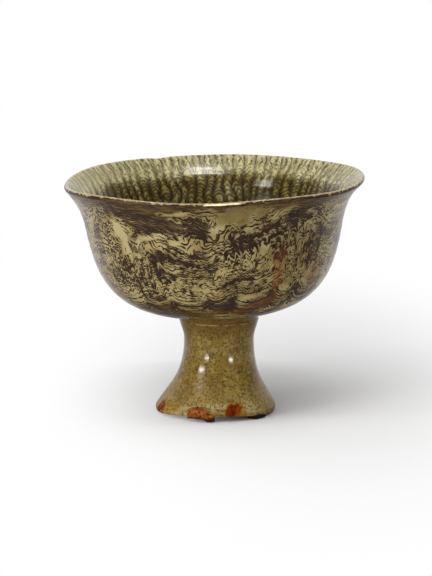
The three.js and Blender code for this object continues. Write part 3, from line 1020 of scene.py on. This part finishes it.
def ashGlazedStoneware():
    p = ashGlaze
    material, add = newMaterial("ashGlazedStoneware")
    mm = add("VectorMath", "SCALE", add("TexCoord", {}, out=3), Scale=1000.0)
    height = add("SeparateXYZ", {}, mm, out=2)
    kept = [add("Attribute", {"attribute_name": name}, out=2) for name in ("rust", "ochre", "thin")]
    rust, ochre, thin = kept
    cloud = add("TexNoise", {}, mm, Scale=1 / p["cloudMm"], Detail=3.0)
    mottle = add("TexNoise", {}, mm, Scale=1 / p["mottleMm"], Detail=3.0)
    freckle = add("TexNoise", {}, mm, Scale=1 / p["freckleMm"], Detail=2.0, Roughness=0.6)
    patchy = add("TexNoise", {}, mm, Scale=1 / p["patchMm"], Detail=4.0, Roughness=0.65)

    # Each cell holds one speck, and its chance value makes it large, small or none
    specks = []
    for size, chance in ((p["speckMm"], 0.5), (p["ironMm"], 0.55)):
        cells = add("TexVoronoi", {}, mm, Scale=1 / size)
        value = add("SeparateColor", {}, cells.node.outputs["Color"])
        specks.append(add("Math", "MULTIPLY_ADD", value, chance, cells))
    speck, iron = specks

    # The line scratched round the top of the stem, where the glaze broke pale
    ringLine = add("Math", "MULTIPLY_ADD", mottle, 0.8, height)
    ringLine = add("Math", "COMPARE", ringLine, p["ringLineHeight"], 0.2)
    broken = add("MapRange", smooth, mottle, 0.4, 0.6, 0.0, 0.7)
    neck = add("Math", "MULTIPLY_ADD", cloud, 4.0, height)
    yellowed = add("Math", "MULTIPLY_ADD", patchy, 2.0, ochre)
    rusted = add("Math", "MULTIPLY_ADD", patchy, 2.0, rust)
    coats = [
        (add("MapRange", smooth, cloud, 0.38, 0.62), "warm"),
        (add("MapRange", smooth, height, 18.0, 6.0, 0.0, 0.7), "low"),
        (add("MapRange", smooth, cloud, 0.5, 0.62, 0.0, 0.5), "warm"),
        (add("MapRange", smooth, mottle, 0.48, 0.62, 0.0, 0.8), "cool"),
        (add("MapRange", smooth, neck, 30.0, 37.0, 0.0, 0.85), "neck"),
        (add("Math", "MULTIPLY", thin, 0.75), "thin"),
        (add("MapRange", smooth, freckle, 0.52, 0.64, 0.0, 0.7), "speck"),
        (add("MapRange", smooth, speck, 0.7, 0.4, 0.0, 0.75), "speck"),
        (add("MapRange", smooth, iron, 0.36, 0.2, 0.0, 0.85), "iron"),
        (add("Math", "MULTIPLY", ringLine, broken), "ringLine"),
        (add("MapRange", smooth, yellowed, 1.2, 1.9, 0.0, 0.9), "ochre"),
        (add("MapRange", smooth, rusted, 1.35, 1.75, 0.0, 0.95), "rust"),
        (add("MapRange", smooth, rusted, 1.82, 2.15, 0.0, 0.85), "rustDark"),
    ]
    colour = layCoats(add, p, "olive", coats)
    rough = add("MapRange", smooth, height, 9.0, 17.0, p["roughnessBelow"], p["roughness"])
    shine = add("MapRange", smooth, add("Math", "MAXIMUM", rust, ochre), 0.1, 0.6, 0.5, 0.03)
    bump = add("Bump", {}, Strength=0.1, Distance=0.0001, Height=mottle)
    finish = {"Base_Color": colour, "Roughness": rough, "Specular_IOR_Level": shine}
    add("OutputMaterial", {}, Surface=add("BsdfPrincipled", {}, Normal=bump, **finish))
    return material


# Bare stoneware clay inside the foot, burnt brown by the kiln
bareClay = {
    "base": "#9A7B50",
    "burnt": "#7A4A22",
    "grit": "#4A2E14",
    "cloudMm": 7,
    "gritMm": 0.4,
    "roughness": 0.8,
}


def bareStoneware():
    p = bareClay
    material, add = newMaterial("bareStoneware")
    mm = add("VectorMath", "SCALE", add("TexCoord", {}, out=3), Scale=1000.0)
    cloud = add("TexNoise", {}, mm, Scale=1 / p["cloudMm"], Detail=3.0)
    grit = add("TexNoise", {}, mm, Scale=1 / p["gritMm"], Detail=3.0)
    burnt = add("MapRange", smooth, cloud, 0.35, 0.65)
    gritty = add("MapRange", smooth, grit, 0.55, 0.7, 0.0, 0.4)
    colour = layCoats(add, p, "base", [(burnt, "burnt"), (gritty, "grit")])
    bump = add("Bump", {}, Strength=0.5, Distance=0.0002, Height=grit)
    finish = {"Base_Color": colour, "Roughness": p["roughness"]}
    add("OutputMaterial", {}, Surface=add("BsdfPrincipled", {}, Normal=bump, **finish))
    return material


# Coarse fireclay of the kiln wads: rough, rust red, and black towards the floor, partly burnt where it met
# the shelf and partly painted shade under the foot's edge
wadClay = {
    "rust": "#763A08",
    "pale": "#975B1A",
    "dark": "#4A2206",
    "burnt": "#221003",
    "gritMm": 1.4,
    "lumpMm": 2.6,
    "roughness": 0.8,
}


def burntAndShadedWadClay():
    p = wadClay
    material, add = newMaterial("burntAndShadedWadClay")
    mm = add("VectorMath", "SCALE", add("TexCoord", {}, out=3), Scale=1000.0)
    height = add("SeparateXYZ", {}, mm, out=2)
    burnt = add("Attribute", {"attribute_name": "burnt"}, out=2)
    grit = add("TexNoise", {}, mm, Scale=1 / p["gritMm"], Detail=4.0)
    lump = add("TexNoise", {}, mm, Scale=1 / p["lumpMm"], Detail=2.0)
    # Black towards the floor, as high as each wad's share: kiln burning and painted shade under the foot's
    # edge
    low = add("Math", "SUBTRACT", add("Math", "MULTIPLY_ADD", lump, 1.4, height), burnt)
    coats = [
        (add("MapRange", smooth, grit, 0.48, 0.62), "pale"),
        (add("MapRange", smooth, grit, 0.46, 0.36), "dark"),
        (add("MapRange", smooth, low, 0.9, 2.4, 0.95, 0.0), "burnt"),
    ]
    colour = layCoats(add, p, "rust", coats)
    bump = add("Bump", {}, Strength=0.6, Distance=0.0004, Height=grit)
    finish = {"Base_Color": colour, "Roughness": p["roughness"], "IOR": 1.35}
    add("OutputMaterial", {}, Surface=add("BsdfPrincipled", {}, Normal=bump, **finish))
    return material


makeBowl([marbledStonewareOutside(), marbledStonewareInside()])
print("bowl turned and marbled")
glaze = ashGlazedStoneware()
makeFoot([glaze, bareStoneware()])
makeSlipJoint([glaze])
print("foot and joint glazed")
wadMaterial = burntAndShadedWadClay()
for wad in wads["left"]:
    makeWad(wad, wadMaterial)
print("kiln wads set")


# The studio: a white floor and surround, one large soft lamp at the upper left, a soft one overhead, and
# small lamps that give the glaze its bright spots. Lamps: name, turn and height in degrees, distance,
# width and length in metres, and glow, which is how bright the lamp looks.
studio = {
    "floor": "#E8E8E8",
    "floorSize": 8.0,
    "lampsAimAt": (0, 0, 0.045),
    "ambient": 0.44,
    "mirroredFront": 0.12,
    "mirroredFloor": 0.25,
    "mirroredBack": 0.8,
    "mirroredRise": (0.0, 0.95),
    "mirroredFloorReach": 0.12,
    "whiteFrom": {"centre": (0.035, 0.02), "reach": (0.105, 0.3), "start": 0.2},
    "soft": [("keyLamp", -29, 38, 1.5, 1.8, 1.8, 1.25), ("topLamp", 55, 72, 1.2, 0.8, 0.8, 2.0)],
    "bright": [
        ("leftSpot", -39, 0.5, 1.3, 0.3, 0.025, 90),
        ("rightSpot", 39, 1.3, 1.3, 0.28, 0.025, 80),
        ("stemLamp", -52, 10.5, 0.3, 0.1, 0.03, 22),
        ("stemStrip", -53, 19, 0.3, 0.1, 0.08, 2.0),
        ("wellLamp", -56, 40.5, 1.2, 0.26, 0.1, 14),
        ("streakLamp", 10, 69, 1.2, 0.5, 0.05, 36),
        ("glowLamp", 2, 76, 1.2, 0.6, 0.22, 1.6),
    ],
}


def makeFloor():
    s = studio
    material, add = newMaterial("studioFloor")
    rays = add("LightPath", {})
    glossy = rays.node.outputs["Is Glossy Ray"]
    here = add("TexCoord", {}, out=3)

    # The camera sees the floor turn white away from the cup, and the glaze mirrors a darker floor in front
    w = s["whiteFrom"]
    offset = add("VectorMath", "SUBTRACT", here, (*w["centre"], 0))
    away = add("VectorMath", "LENGTH", add("VectorMath", "DIVIDE", offset, (*w["reach"], 1)))
    far = add("Math", "MULTIPLY", rays, add("MapRange", smooth, away, w["start"], 1.0))
    back = add("SeparateXYZ", {}, here, out=1)
    mirrored = add("MapRange", {}, back, 0.0, s["mirroredFloorReach"], s["mirroredFloor"], 1.0)
    kept = add("Mix", {"data_type": "FLOAT"}, glossy, 1.0, mirrored)
    paint = add("VectorMath", "SCALE", fromHex(s["floor"])[:3], Scale=kept)
    paint = add("BsdfDiffuse", {}, paint)
    white = add("Emission", {}, (1, 1, 1, 1), 1.0)
    add("OutputMaterial", {}, Surface=add("MixShader", {}, far, paint, white))
    bpy.ops.mesh.primitive_plane_add(size=s["floorSize"], location=(0, 0, 0))
    floor = bpy.context.object
    floor.name = "floor"
    floor.data.materials.append(material)


def makeLamp(name, turn, height, distance, wide, tall, glow):
    lamp = bpy.data.lights.new(name, "AREA")
    lamp.shape = "ELLIPSE"
    lamp.size = wide
    lamp.size_y = tall
    lamp.energy = glow * math.pi * (math.pi / 4 * wide * tall)
    made = bpy.data.objects.new(name, lamp)
    bpy.context.scene.collection.objects.link(made)
    t, h = math.radians(turn), math.radians(height)
    away = Vector((math.sin(t) * math.cos(h), -math.cos(t) * math.cos(h), math.sin(h)))
    made.location = Vector(studio["lampsAimAt"]) + away * distance
    made.rotation_euler = away.to_track_quat("Z", "Y").to_euler()
    return made


# The world is white to the camera. The glaze mirrors a dark room in front and a pale one behind.
def makeWorld():
    s = studio
    world = bpy.data.worlds.new("studio")
    bpy.context.scene.world = world
    world.use_nodes = True
    world.node_tree.nodes.clear()
    add = partial(addNode, world.node_tree)
    rays = add("LightPath", {})
    seen = add("Math", "MAXIMUM", rays, rays.node.outputs["Is Transmission Ray"])
    strength = add("MapRange", {}, seen, 0.0, 1.0, s["ambient"], 1.0)
    back = add("SeparateXYZ", {}, add("TexCoord", {}), out=1)
    mirrored = add("MapRange", smooth, back, *s["mirroredRise"], s["mirroredFront"], s["mirroredBack"])
    glossy = rays.node.outputs["Is Glossy Ray"]
    strength = add("Mix", {"data_type": "FLOAT"}, glossy, strength, mirrored)
    add("OutputWorld", {}, Surface=add("Background", {}, (1, 1, 1, 1), strength))


# The camera, at the photograph's angle. The sensor's width counts for the longer side, the height.
view = {
    "distance": 2.0,
    "tilt": 10.6,
    "target": (0.0006, 0, 0.0469),
    "pixelsPerMm": 299 / 112,
    "frameHeight": 576,
    "sensor": 36.0,
}


def makeCamera():
    tilt = math.radians(view["tilt"])
    back = Vector((0, -math.cos(tilt), math.sin(tilt)))
    camera = bpy.data.cameras.new("camera")
    camera.sensor_width = view["sensor"]
    pixelsAcross = view["distance"] * 1000 * view["pixelsPerMm"]
    camera.lens = view["sensor"] * pixelsAcross / view["frameHeight"]
    camera.clip_end = 50
    made = bpy.data.objects.new("camera", camera)
    bpy.context.scene.collection.objects.link(made)
    made.location = Vector(view["target"]) + back * view["distance"]
    made.rotation_euler = back.to_track_quat("Z", "Y").to_euler()
    bpy.context.scene.camera = made


makeFloor()
makeWorld()
for lamp in studio["soft"]:
    makeLamp(*lamp).visible_glossy = False
for lamp in studio["bright"]:
    makeLamp(*lamp)
makeCamera()
bpy.context.scene.view_settings.view_transform = "Standard"
print("studio lit, camera set")
